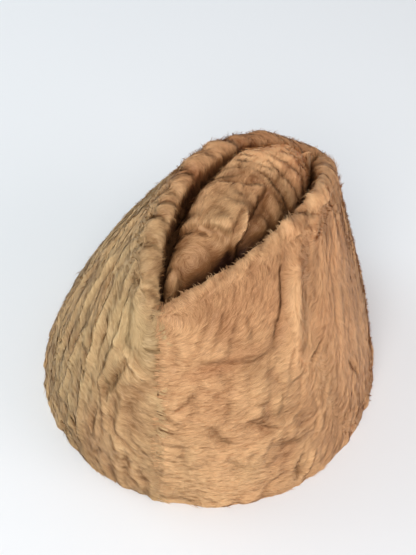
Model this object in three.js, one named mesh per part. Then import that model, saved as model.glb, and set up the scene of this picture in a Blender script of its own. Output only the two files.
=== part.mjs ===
import * as THREE from 'three';
import { mergeVertices } from 'three/addons/utils/BufferGeometryUtils.js';

// Boat-shaped karakul cap: two side panels of curled pelt that meet in a front and a back seam,
// each rolled inward along its top edge, and a crown pelt folded down between the two rolls.
// Millimetres, +Z up, the rim on the floor at z = 0, the front of the cap toward -Y.

const PELT = 3.6; // wall of the panels: skin and curled fur together
const CROWN_PELT = 3.4; // the crown's pelt is clipped a little shorter
const SEAM_GAP = 0.5; // clear space between the panels
const BORDER_GAP = 0.9; // clear space between the turned-in borders and the crown

// Outer edge of the rim, seen from above.
const RIM_HALF_WIDTH = 89.9;
const RIM_HALF_LENGTH = 101.5;

// Centre line of the rolled top edge, seen from above and from the side.
const EDGE_HALF_WIDTH = 28.4;
const EDGE_FRONT = 75.4;
const EDGE_BACK = 91.5;
const EDGE_SHIFT = -0.6; // the widest place lies this far behind the middle of the rim
const EDGE_TWIST = THREE.MathUtils.degToRad(-1.2); // the edge sits a little turned on the rim
const EDGE_TILT = 1.8; // the left side stands this much higher than the middle
const FRONT_POINT = 0.1; // 0 is an ellipse, 1 a pointed arch
const BACK_POINT = 0.91;
const EDGE_HEIGHT = { front: 104.9, middle: 127, back: 85.6 };

// Rolled edge and its turned-in border.
const ROLL_RADIUS = 4.8;
const ROLL_START = THREE.MathUtils.degToRad(20); // where the wall runs into the roll
const BORDER_DEPTH = { tips: 12, middle: 22 };
const GATHERS = { count: 11, height: 0.6 }; // soft bumps of the pile along each roll

// Wall between the rim and the roll.
const WALL_BULGE = { front: 9.1, back: 1.6 };
const WALL_LEAN = THREE.MathUtils.degToRad(20);
const SEAM_DRIFT = THREE.MathUtils.degToRad(16.5); // how far the front seam wanders at the rim
const SEAM_BEND = 0.35; // 1 is a steady drift, less goes aside right below the roll

// Long folds and hollows of the pelt. Turn is measured from the front, to the right positive.
const WALL_FOLDS = [
  { fold: 'level crease', turn: 38, up: 0.72, halfTurn: 16, halfUp: 0.05, depth: 1.3 },
  { fold: 'trough beside the smooth tongue', turn: 64, up: 0.85, halfTurn: 5, halfUp: 0.12, depth: 1.5 },
  { fold: 'smooth tongue', turn: 70, up: 0.75, halfTurn: 5, halfUp: 0.2, depth: -1.2 },
  { fold: 'smooth patch by the front corner', turn: -8, up: 0.88, halfTurn: 10, halfUp: 0.1, depth: -1 },
  { fold: 'valley below the patch', turn: -7, up: 0.62, halfTurn: 5, halfUp: 0.14, depth: 1.4 },
  { fold: 'long left trough', turn: -30, up: 0.7, halfTurn: 7, halfUp: 0.14, depth: 1.4 },
  { fold: 'long left ridge', turn: -40, up: 0.4, halfTurn: 7, halfUp: 0.3, depth: -1.3 },
  { fold: 'back left ridge', turn: -125, up: 0.45, halfTurn: 10, halfUp: 0.3, depth: -1.2 },
  { fold: 'back right ridge', turn: 128, up: 0.5, halfTurn: 10, halfUp: 0.3, depth: -1.2 },
];

// Crown: ridge line from its nose to its tail, as a drop below the rolled edge beside it.
const RIDGE_SIDE = { front: -8, back: -4 }; // the ridge leans to the left of the middle
const RIDGE_LINE = [
  { place: 'nose', y: -50, drop: 6 },
  { place: 'front lobe', y: -42, drop: 4 },
  { place: 'first fold, foot', y: -34, drop: 3 },
  { place: 'first fold, top', y: -27, drop: -4 },
  { place: 'middle lobe', y: -14, drop: -5 },
  { place: 'second fold, foot', y: 1, drop: -2 },
  { place: 'second fold, top', y: 8, drop: -5.5 },
  { place: 'rear lobe', y: 30, drop: -7.5 },
  { place: 'slope', y: 50, drop: -7 },
  { place: 'tail', y: 70, drop: 0 },
];
const GROOVE_RADIUS = { left: 1.3, rightFront: 5, rightBack: 1.2 }; // half widths of the grooves
const GROOVE_NARROWS = { from: -48, to: 0 }; // where the right groove goes from wide to narrow
const GROOVE_DROP = 3;
// Shoulders of the ridge: 2 is an ellipse, more is squarer.
const RIDGE_FULLNESS = { narrow: 2.5, leftFront: 3.4, leftBack: 5.5, right: 2.5 };
const SHOULDER_SQUARES = { from: -5, to: 20 }; // where the left shoulder goes from round to square
const RIDGE_SPAN = { narrow: 8, wide: 17 }; // half widths of the ridge that these belong to

// Fineness of the faceted skins.
const PANEL_STEPS = 36;
const WALL_STEPS = 8;
const ROLL_STEPS = 6;
const BORDER_STEPS = 2;
const CROWN_STEPS = 60;
const GROOVE_STEPS = 4;
const RIDGE_STEPS = 6;

const TURN = Math.PI;
const UP = new THREE.Vector3(0, 0, 1);

const { lerp } = THREE.MathUtils;

function smooth(t) {
  return t * t * (3 - 2 * t);
}

// How far a value has gone from one bound to another, eased at both.
function between(value, from, to) {
  return smooth(THREE.MathUtils.clamp((value - from) / (to - from), 0, 1));
}

function outward(angle, halfWidth, halfLength) {
  const across = Math.sin(angle) / halfWidth;
  const along = -Math.cos(angle) / halfLength;
  return new THREE.Vector3(across, along, 0).normalize();
}

function rimPoint(angle) {
  return new THREE.Vector3(RIM_HALF_WIDTH * Math.sin(angle), -RIM_HALF_LENGTH * Math.cos(angle), 0);
}

function edgeHeight(angle) {
  const s = Math.abs(angle) / TURN;
  const { front, middle, back } = EDGE_HEIGHT;
  const crest = 2 * middle - (front + back) / 2;
  return front * (1 - s) ** 2 + 2 * s * (1 - s) * crest + back * s * s;
}

function edgePoint(angle) {
  const s = Math.abs(angle) / TURN;
  const point = lerp(FRONT_POINT, BACK_POINT, smooth(s));
  const along = (1 - point) * Math.cos(angle) + point * (1 - 2 * s);
  const reach = along > 0 ? EDGE_FRONT + EDGE_SHIFT : EDGE_BACK - EDGE_SHIFT;
  const y = EDGE_SHIFT - reach * along;
  const z = edgeHeight(angle) - EDGE_TILT * Math.sin(angle);
  return new THREE.Vector3(EDGE_HALF_WIDTH * Math.sin(angle), y, z).applyAxisAngle(UP, EDGE_TWIST);
}

function edgeOutward(angle) {
  const reach = Math.cos(angle) > 0 ? EDGE_FRONT : EDGE_BACK;
  return outward(angle, EDGE_HALF_WIDTH, reach).applyAxisAngle(UP, EDGE_TWIST);
}

function borderDepth(angle) {
  return lerp(BORDER_DEPTH.tips, BORDER_DEPTH.middle, Math.abs(Math.sin(angle)));
}

function foldDepth(angle, up) {
  let depth = 0;
  for (const fold of WALL_FOLDS) {
    const turned = (THREE.MathUtils.radToDeg(angle) - fold.turn) / fold.halfTurn;
    const raised = (up - fold.up) / fold.halfUp;
    depth += fold.depth * Math.exp(-turned * turned - raised * raised);
  }
  return depth;
}

// A place on the wall: its outer point and the way to its inner point.
function wallPlace(angle, up) {
  const edge = edgePoint(angle);
  const edgeOut = edgeOutward(angle);
  const out = outward(angle, RIM_HALF_WIDTH, RIM_HALF_LENGTH).lerp(edgeOut, up).normalize();
  const top = edge.clone().addScaledVector(edgeOut, ROLL_RADIUS * Math.cos(ROLL_START));
  top.addScaledVector(UP, ROLL_RADIUS * Math.sin(ROLL_START));
  const swell = lerp(WALL_BULGE.front, WALL_BULGE.back, smooth(Math.abs(angle) / TURN));
  const bulge = swell * Math.sin(Math.PI * up);
  const relief = -foldDepth(angle, up) * Math.min(1, 6 * up) * Math.min(1, 6 * (1 - up));
  const outer = rimPoint(angle).lerp(top, up).addScaledVector(out, bulge + relief);
  const level = (1 - up) / Math.cos(WALL_LEAN) + up * Math.cos(ROLL_START);
  const inward = out.clone().multiplyScalar(level).addScaledVector(UP, up * Math.sin(ROLL_START));
  return { outer, inner: outer.clone().addScaledVector(inward, -PELT) };
}

// A place on the roll, turned from the wall's side over the top to the opening.
function rollPlace(angle, turned) {
  const edge = edgePoint(angle);
  const gather = Math.cos(2 * GATHERS.count * Math.abs(angle)) * Math.sin(angle) ** 2;
  const spoke = edgeOutward(angle).multiplyScalar(Math.cos(turned)).addScaledVector(UP, Math.sin(turned));
  const radius = ROLL_RADIUS + GATHERS.height * gather * Math.sin(turned) ** 2;
  return {
    outer: edge.clone().addScaledVector(spoke, radius),
    inner: edge.clone().addScaledVector(spoke, ROLL_RADIUS - PELT),
  };
}

// A place on the turned-in border, hanging straight down inside.
function borderPlace(angle, share) {
  const edge = edgePoint(angle).addScaledVector(UP, -share * borderDepth(angle));
  const out = edgeOutward(angle);
  return {
    outer: edge.clone().addScaledVector(out, -ROLL_RADIUS),
    inner: edge.clone().addScaledVector(out, PELT - ROLL_RADIUS),
  };
}

// One row of a panel, from the front seam to the back seam.
function panelPlace(side, row, share) {
  const up = Math.min(row / WALL_STEPS, 1);
  const seam = SEAM_DRIFT * (1 - up) ** SEAM_BEND;
  const angle = lerp(seam, side * TURN, share);
  if (row < WALL_STEPS) return wallPlace(angle, up);
  const rolled = (row - WALL_STEPS) / ROLL_STEPS;
  if (rolled <= 1) return rollPlace(angle, lerp(ROLL_START, Math.PI, rolled));
  return borderPlace(angle, (row - WALL_STEPS - ROLL_STEPS) / BORDER_STEPS);
}

// Closed mesh from two skins that share a grid, with its open borders walled in.
function shell(columns, rows, placeAt, flip, ring) {
  const places = [];
  for (let c = 0; c <= columns; c += 1) {
    for (let r = 0; r <= rows; r += 1) places.push(placeAt(c, r));
  }
  const points = [...places.map((p) => p.outer), ...places.map((p) => p.inner)];
  const at = (c, r) => c * (rows + 1) + r;
  const inside = places.length;
  const faces = [];
  const quad = (a, b, c, d) => {
    faces.push(flip ? [a, c, b] : [a, b, c]);
    faces.push(flip ? [a, d, c] : [a, c, d]);
  };
  for (let c = 0; c < columns; c += 1) {
    for (let r = 0; r < rows; r += 1) {
      const [a, b, d, e] = [at(c, r), at(c + 1, r), at(c + 1, r + 1), at(c, r + 1)];
      quad(a, b, d, e);
      quad(inside + a, inside + e, inside + d, inside + b);
    }
    quad(at(c, 0), inside + at(c, 0), inside + at(c + 1, 0), at(c + 1, 0));
    if (!ring) quad(at(c + 1, rows), inside + at(c + 1, rows), inside + at(c, rows), at(c, rows));
  }
  for (let r = 0; r < rows && !ring; r += 1) {
    quad(at(0, r + 1), inside + at(0, r + 1), inside + at(0, r), at(0, r));
    quad(at(columns, r), inside + at(columns, r), inside + at(columns, r + 1), at(columns, r + 1));
  }
  return weld(points, faces);
}

// Joins points that coincide and leaves out the faces that close up to nothing.
function weld(points, faces) {
  const loose = new THREE.BufferGeometry().setFromPoints(points);
  loose.setIndex(faces.flat());
  const joined = mergeVertices(loose, 1e-4);
  const index = Array.from(joined.index.array);
  const kept = [];
  for (let i = 0; i < index.length; i += 3) {
    const [a, b, c] = index.slice(i, i + 3);
    if (a !== b && b !== c && c !== a) kept.push(a, b, c);
  }
  joined.setIndex(kept);
  joined.computeVertexNormals();
  return joined;
}

function panel(side) {
  const rows = WALL_STEPS + ROLL_STEPS + BORDER_STEPS;
  const placeAt = (c, r) => {
    const place = panelPlace(side, r, c / PANEL_STEPS);
    place.outer.x += (side * SEAM_GAP) / 2;
    place.inner.x += (side * SEAM_GAP) / 2;
    return place;
  };
  return shell(PANEL_STEPS, rows, placeAt, side < 0, false);
}

const RIDGE_FRONT = RIDGE_LINE[0].y;
const RIDGE_BACK = RIDGE_LINE.at(-1).y;

// The ridge line runs smoothly through the places of its table.
const ridgeDrop = new THREE.SplineCurve(RIDGE_LINE.map((row) => new THREE.Vector2(row.y, row.drop)));

function ridgeHeight(y, beside) {
  let low = 0;
  let high = 1;
  for (let i = 0; i < 24; i += 1) {
    const middle = (low + high) / 2;
    if (ridgeDrop.getPoint(middle).x < y) low = middle;
    else high = middle;
  }
  return beside - ridgeDrop.getPoint(low).y;
}

// Side-on course of the crown's pelt, from the border down into the groove and up to the ridge.
function crownCourse(width, height, radius, wide) {
  const course = [new THREE.Vector2(0, 0)];
  for (let i = 0; i <= GROOVE_STEPS; i += 1) {
    const turned = (Math.PI * i) / GROOVE_STEPS;
    const across = radius * (1 - Math.cos(turned));
    course.push(new THREE.Vector2(across, -GROOVE_DROP - radius * Math.sin(turned)));
  }
  const span = width - 2 * radius;
  const broad = between(span, RIDGE_SPAN.narrow, RIDGE_SPAN.wide);
  const power = 2 / lerp(RIDGE_FULLNESS.narrow, wide, broad);
  for (let i = 1; i <= RIDGE_STEPS; i += 1) {
    const turned = (Math.PI / 2) * (i / RIDGE_STEPS);
    const across = 2 * radius + span * (1 - Math.max(0, Math.cos(turned)) ** power);
    course.push(new THREE.Vector2(across, (height + GROOVE_DROP) * Math.sin(turned) ** power - GROOVE_DROP));
  }
  return course;
}

function underside(course, i) {
  const span = course.at(-1).x - course[GROOVE_STEPS + 1].x;
  const pelt = i === course.length - 1 ? CROWN_PELT : Math.min(CROWN_PELT, 0.4 * span);
  const before = course[Math.max(i - 1, 0)];
  const after = course[Math.min(i + 1, course.length - 1)];
  const way = after.clone().sub(before).normalize();
  if (i === 0) way.set(0, -1);
  if (i === course.length - 1) way.set(1, 0);
  return course[i].clone().add(new THREE.Vector2(way.y, -way.x).multiplyScalar(pelt));
}

function crownPlace(angle, row) {
  const border = borderPlace(angle, 1).outer.addScaledVector(UP, -BORDER_GAP);
  // Both sides of the crown come together at the same places on the ridge.
  const abreast = (border.y + borderPlace(-angle, 1).outer.y) / 2;
  const y = THREE.MathUtils.clamp(abreast, RIDGE_FRONT, RIDGE_BACK);
  const back = (y - RIDGE_FRONT) / (RIDGE_BACK - RIDGE_FRONT);
  const ridge = new THREE.Vector3(lerp(RIDGE_SIDE.front, RIDGE_SIDE.back, back), y, border.z);
  const inward = ridge.clone().sub(border);
  const width = inward.length();
  inward.normalize();
  const beside = edgeHeight(ridgeAngle(y));
  const toRight = (1 + Math.sin(angle)) / 2;
  const narrowed = between(y, GROOVE_NARROWS.from, GROOVE_NARROWS.to);
  const right = lerp(GROOVE_RADIUS.rightFront, GROOVE_RADIUS.rightBack, narrowed);
  const radius = lerp(GROOVE_RADIUS.left, right, toRight);
  const squared = between(y, SHOULDER_SQUARES.from, SHOULDER_SQUARES.to);
  const left = lerp(RIDGE_FULLNESS.leftFront, RIDGE_FULLNESS.leftBack, squared);
  const wide = lerp(left, RIDGE_FULLNESS.right, toRight);
  const course = crownCourse(width, ridgeHeight(y, beside) - border.z, radius, wide);
  const lift = (flat) => border.clone().addScaledVector(inward, flat.x).addScaledVector(UP, flat.y);
  const outer = lift(course[row]);
  // The upper rows lie right under the border that they are sewn to.
  if (row < 2) return { outer, inner: outer.clone().addScaledVector(edgeOutward(angle), CROWN_PELT) };
  return { outer, inner: lift(underside(course, row)) };
}

// The turn round the edge at which its border lies beside a place on the ridge.
function ridgeAngle(y) {
  let low = 0;
  let high = TURN;
  for (let i = 0; i < 30; i += 1) {
    const middle = (low + high) / 2;
    if (borderPlace(middle, 1).outer.y < y) low = middle;
    else high = middle;
  }
  return low;
}

function crown() {
  const rows = 1 + GROOVE_STEPS + RIDGE_STEPS;
  const half = CROWN_STEPS / 2;
  const placeAt = (c, r) => crownPlace((TURN * (c - half)) / half, r);
  return shell(CROWN_STEPS, rows, placeAt, false, true);
}

const PELT_COLOURS = { left: 0xa98c60, right: 0xbd8b5f, crown: 0xb78d66 };

function piece(name, geometry, colour) {
  const material = new THREE.MeshStandardMaterial({ color: colour, roughness: 0.75, metalness: 0 });
  const mesh = new THREE.Mesh(geometry, material);
  mesh.name = name;
  return mesh;
}

const group = new THREE.Group();
group.name = 'karakul_cap';
group.add(piece('side_panel_left', panel(-1), PELT_COLOURS.left));
group.add(piece('side_panel_right', panel(1), PELT_COLOURS.right));
group.add(piece('crown', crown(), PELT_COLOURS.crown));

export default group;
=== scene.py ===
import math

import bmesh
import bpy
import numpy as np
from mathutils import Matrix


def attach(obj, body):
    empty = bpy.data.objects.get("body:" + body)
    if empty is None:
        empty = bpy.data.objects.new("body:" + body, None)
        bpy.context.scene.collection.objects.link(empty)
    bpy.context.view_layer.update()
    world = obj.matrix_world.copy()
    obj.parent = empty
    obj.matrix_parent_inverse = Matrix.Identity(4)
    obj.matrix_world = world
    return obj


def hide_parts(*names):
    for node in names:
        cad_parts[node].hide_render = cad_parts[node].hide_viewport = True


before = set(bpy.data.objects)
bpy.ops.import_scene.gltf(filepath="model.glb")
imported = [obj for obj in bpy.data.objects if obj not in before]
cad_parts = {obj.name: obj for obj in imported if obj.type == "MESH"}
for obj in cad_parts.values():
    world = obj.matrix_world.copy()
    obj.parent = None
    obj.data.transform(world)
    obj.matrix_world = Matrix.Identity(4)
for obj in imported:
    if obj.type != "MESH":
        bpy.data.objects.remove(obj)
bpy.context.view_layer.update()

# Left panel.
# One half of the wall: a wavy lamb pelt from the rim up, rolled inward over the top edge and
# turned down inside. It is sewn to the right panel along the front and the back of the cap.
# Sizes are in millimetres, and MM turns them into metres.
MM = 0.001
PELT = 3.6
RIM_HALF_WIDTH = 89.9
RIM_HALF_LENGTH = 101.5
EDGE_HALF_WIDTH = 28.4
EDGE_FRONT = 75.4
EDGE_BACK = 91.5
EDGE_SHIFT = -0.6
EDGE_TWIST = math.radians(-1.2)
EDGE_TILT = 1.8
FRONT_POINT = 0.1
BACK_POINT = 0.91
EDGE_HEIGHT = {"front": 104.9, "middle": 127.0, "back": 85.6}
ROLL_RADIUS = 4.8
ROLL_START = math.radians(20)
BORDER_DEPTH = {"tips": 12.0, "middle": 22.0}
WALL_BULGE = {"front": 9.1, "back": 1.6}
WALL_LEAN = math.radians(20)
SEAM_DRIFT = math.radians(16.5)
SEAM_BEND = 0.35
SEAM_GAP = 0.5
LEFT, RIGHT = -1, 1
UPWARD = np.array([0.0, 0.0, 1.0])


def eased(t):
    t = np.clip(t, 0, 1)
    return t * t * (3 - 2 * t)


def mixed(a, b, t):
    return a + (b - a) * t


def unit(vectors):
    return vectors / np.maximum(np.linalg.norm(vectors, axis=-1, keepdims=True), 1e-9)


def dot(a, b):
    return np.sum(a * b, -1)


def outward(turn, half_width, half_length):
    return unit(np.stack([np.sin(turn) / half_width, -np.cos(turn) / half_length, 0 * turn], -1))


def edge_height(turn):
    s = np.abs(turn) / math.pi
    front, middle, back = (EDGE_HEIGHT[k] for k in ("front", "middle", "back"))
    crest = 2 * middle - (front + back) / 2
    return front * (1 - s) ** 2 + 2 * s * (1 - s) * crest + back * s * s


def twisted(vectors):
    x, y, z = np.moveaxis(vectors, -1, 0)
    c, s = math.cos(EDGE_TWIST), math.sin(EDGE_TWIST)
    return np.stack([c * x - s * y, s * x + c * y, z], -1)


def edge_line(turn):
    s = np.abs(turn) / math.pi
    point = mixed(FRONT_POINT, BACK_POINT, eased(s))
    along = (1 - point) * np.cos(turn) + point * (1 - 2 * s)
    reach = np.where(along > 0, EDGE_FRONT + EDGE_SHIFT, EDGE_BACK - EDGE_SHIFT)
    height = edge_height(turn) - EDGE_TILT * np.sin(turn)
    line = np.stack([EDGE_HALF_WIDTH * np.sin(turn), EDGE_SHIFT - reach * along, height], -1)
    return twisted(line)


def edge_outward(turn):
    half_length = np.where(np.cos(turn) > 0, EDGE_FRONT, EDGE_BACK)
    return twisted(outward(turn, EDGE_HALF_WIDTH, half_length))


def wall_skin(turn, course, inner=False):
    """Place on the panel's plain skin. Course 0 to 1 is wall, 1 to 2 roll, 2 to 3 border."""
    up = np.clip(course, 0, 1)[..., None]
    edge = edge_line(turn)
    edge_out = edge_outward(turn)
    out = unit(mixed(outward(turn, RIM_HALF_WIDTH, RIM_HALF_LENGTH), edge_out, up))
    rim = np.stack([RIM_HALF_WIDTH * np.sin(turn), -RIM_HALF_LENGTH * np.cos(turn), 0 * turn], -1)
    top = edge + ROLL_RADIUS * (edge_out * math.cos(ROLL_START) + UPWARD * math.sin(ROLL_START))
    swell = mixed(WALL_BULGE["front"], WALL_BULGE["back"], eased(np.abs(turn) / math.pi))[..., None]
    wall = mixed(rim, top, up) + out * swell * np.sin(math.pi * up)
    if inner:
        level = (1 - up) / math.cos(WALL_LEAN) + up * math.cos(ROLL_START)
        wall = wall - PELT * (out * level + UPWARD * up * math.sin(ROLL_START))
    radius = ROLL_RADIUS - PELT if inner else ROLL_RADIUS
    bend = mixed(ROLL_START, math.pi, np.clip(course - 1, 0, 1))[..., None]
    roll = edge + radius * (edge_out * np.cos(bend) + UPWARD * np.sin(bend))
    depth = mixed(BORDER_DEPTH["tips"], BORDER_DEPTH["middle"], np.abs(np.sin(turn)))
    border = edge - radius * edge_out - UPWARD * (np.clip(course - 2, 0, 1) * depth)[..., None]
    course = course[..., None]
    return np.where(course < 1, wall, np.where(course < 2, roll, border))


LATTICE_SIDE = 64
LATTICE = np.random.default_rng(11).random((LATTICE_SIDE, LATTICE_SIDE))
LAYER_STEP = (17.3, 9.7)


def wander(x, y, layer=0):
    """Smooth random drift between -1 and 1, one bump for each unit of x and y."""
    x, y = x + LAYER_STEP[0] * layer, y + LAYER_STEP[1] * layer
    i, j = np.floor(x).astype(int), np.floor(y).astype(int)
    s, t = eased(x - i), eased(y - j)
    at = lambda a, b: LATTICE[(i + a) % LATTICE_SIDE, (j + b) % LATTICE_SIDE]
    return 2 * mixed(mixed(at(0, 0), at(1, 0), s), mixed(at(0, 1), at(1, 1), s), t) - 1


def ripple(x, y, layer):
    """Pile in irregular ridges: 0 in the narrow valleys between them, 1 on their round tops."""
    return np.clip(1.6 * np.abs(wander(x, y, layer)), 0, 1)


# A pelt is worked out on a close net: columns from seam to seam and rows from the rim up and over
# the edge. The net holds the plain skin and, after combing, the pile's surface and its hair.
NET_SHARES = np.linspace(-0.04, 1.01, 680)
WALL_COURSES = np.linspace(0, 1, 281)
ROLL_COURSES = np.linspace(1, 2, 37)
BORDER_COURSES = np.linspace(2, 3, 15)
NET_COURSES = np.concatenate([WALL_COURSES, ROLL_COURSES[1:], BORDER_COURSES[1:]])
# How much hairs and waves differ from each other, by the front of each panel and at its far end.
LIVELY = {LEFT: 0.65, RIGHT: 1.0, "far": 0.5}
LIVELY_TURN = {"from": 45, "over": 35}


def panel_turn(side, share, course):
    """Turn at a share of the way from the front seam to the back one."""
    return mixed(SEAM_DRIFT * (1 - np.clip(course, 0, 1)) ** SEAM_BEND, side * math.pi, share)


def net_of(skin):
    """Skin of a net with its ways along columns and rows and the lengths along both."""
    column_way, row_way = np.gradient(skin, axis=0), np.gradient(skin, axis=1)
    across = np.cumsum(np.linalg.norm(column_way, axis=-1), axis=0)
    along = np.cumsum(np.linalg.norm(row_way, axis=-1), axis=1)
    return dict(skin=skin, column_way=column_way, row_way=row_way, across=across, along=along)


def panel_net(side):
    share, course = np.meshgrid(NET_SHARES, NET_COURSES, indexing="ij")
    turn = panel_turn(side, share, course)
    skin = wall_skin(turn, course)
    skin[..., 0] += side * SEAM_GAP / 2
    net = net_of(skin)
    seam = np.argmin(np.abs(NET_SHARES))
    net.update(share=share, course=course, turn=np.degrees(turn), up=np.clip(course, 0, 1))
    net.update(across=net["across"] - net["across"][seam], mirrored=False, facing=side)
    far = eased((side * net["turn"] - LIVELY_TURN["from"]) / LIVELY_TURN["over"])
    net.update(lively=mixed(LIVELY[side], LIVELY["far"], far))
    return net


def read(field, column, row):
    """Value of a net's field between its columns and rows."""
    i = np.clip(column.astype(int), 0, field.shape[0] - 2)
    j = np.clip(row.astype(int), 0, field.shape[1] - 2)
    s, t = np.clip(column - i, 0, 1), np.clip(row - j, 0, 1)
    if field.ndim == 3:
        s, t = s[:, None], t[:, None]
    low = mixed(field[i, j], field[i + 1, j], s)
    return mixed(low, mixed(field[i, j + 1], field[i + 1, j + 1], s), t)


def zone_value(zones, base, key, net):
    """A value of the pelt that changes softly from its base to that of each zone."""
    value = np.full(net["turn"].shape, float(base[key]))
    for zone in zones:
        across = (net["turn"] - zone["turn"]) / zone["half_turn"]
        along = (net["up"] - zone["up"]) / zone["half_up"]
        value = mixed(value, zone[key], np.exp(-((across**2 + along**2) ** 2)))
    return value


FOLD_END = 1.5
FOLD_BANK = {"width": 2.3, "depth": 0.35}


def fold_value(folds, across, along, find):
    """Rise of single folds and the painted light and shade along them, each a bowed line with a steep
    side and a slow one.
    """
    rise, light = np.zeros(across.shape), np.zeros(across.shape)
    for fold in folds:
        (s0, y0), (s1, y1) = find(*fold["start"]), find(*fold["end"])
        long = math.hypot(s1 - s0, y1 - y0)
        run = ((across - s0) * (s1 - s0) + (along - y0) * (y1 - y0)) / long
        off = ((along - y0) * (s1 - s0) - (across - s0) * (y1 - y0)) / long
        off = off - fold["bow"] * (1 - (2 * np.clip(run / long, 0, 1) - 1) ** 2)
        beyond = np.maximum(np.maximum(-run, run - long), 0) / (FOLD_END * fold["steep"])
        width = np.where(off < 0, fold["steep"], fold["slow"])
        near = np.exp(-((off / width) ** 2) - beyond**2)
        beside = np.exp(-((off / (FOLD_BANK["width"] * width)) ** 2) - beyond**2)
        rise += fold["rise"] * ((1 + FOLD_BANK["depth"]) * near - FOLD_BANK["depth"] * beside)
        light += fold["light"] * near
    return rise, light


SHOWN_RELIEF = 1.9


def combed(net, height, shade, cast, comb):
    """Adds the pile's surface to a net, its way out, its colours and the lay of its hair."""
    u = unit(net["column_way"])
    out = unit(np.cross(net["column_way"], net["row_way"])) * net["facing"]
    v = unit(net["row_way"] - u * dot(net["row_way"], u)[..., None])
    pile = net["skin"] + out * height[..., None]
    # The hair shows the relief more than its height does, because its lay turns with it.
    shown = net["skin"] + out * (SHOWN_RELIEF * height)[..., None]
    slopes = np.gradient(shown, axis=0), np.gradient(shown, axis=1)
    normal = unit(np.cross(*slopes)) * net["facing"]
    lay = u * np.cos(comb)[..., None] + v * np.sin(comb)[..., None]
    area = np.linalg.norm(np.cross(net["column_way"], net["row_way"]), axis=-1)
    net.update(out=out, pile=pile, normal=normal, shade=shade, cast=cast, lay=lay, area=area)
    return net


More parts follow.
